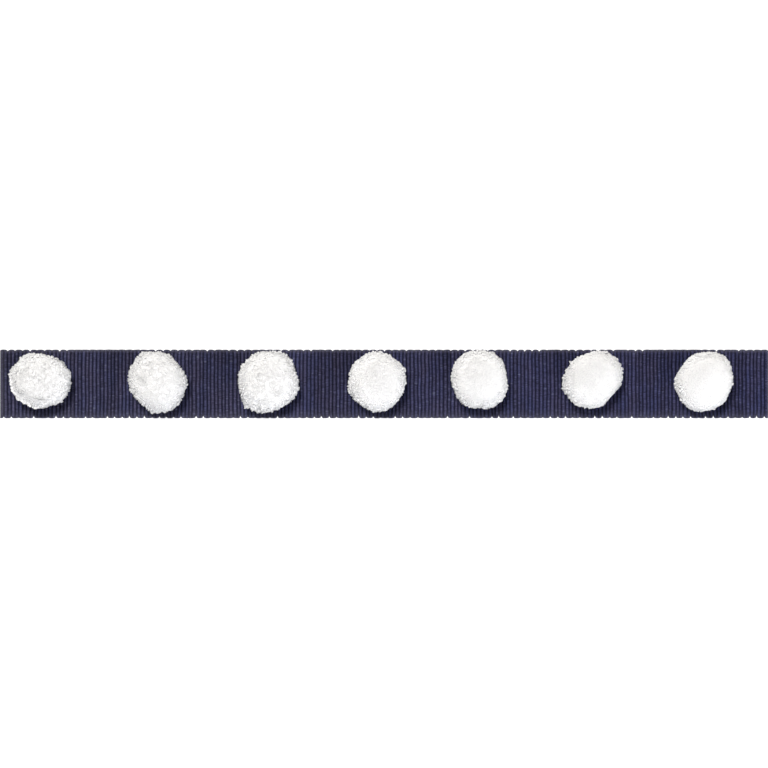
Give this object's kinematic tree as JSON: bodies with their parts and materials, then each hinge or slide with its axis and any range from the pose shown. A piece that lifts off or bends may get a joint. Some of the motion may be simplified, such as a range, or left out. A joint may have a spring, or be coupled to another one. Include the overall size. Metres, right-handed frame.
{
  "type": "pompom ribbon trim",
  "caption": "Straight, flat length of ribbed ribbon trim with a row of round cut-pile pompoms fixed along the middle of its face.",
  "frame": {"origin": "middle of the ribbon's underside, where it rests", "axes": "+X along the ribbon, +Y across it, +Z out of its face through the pompoms"},
  "size_m": [0.248, 0.022, 0.0188],
  "materials": {
    "ribbon": "matt navy grosgrain with raised weft ribs",
    "pompom": "soft matt white cut pile"
  },
  "bodies": {
    "root": {"tape": "ribbon", "pompom_1": "pompom", "pompom_2": "pompom", "pompom_3": "pompom", "pompom_4": "pompom", "pompom_5": "pompom", "pompom_6": "pompom", "pompom_7": "pompom"}
  },
  "joints": []
}
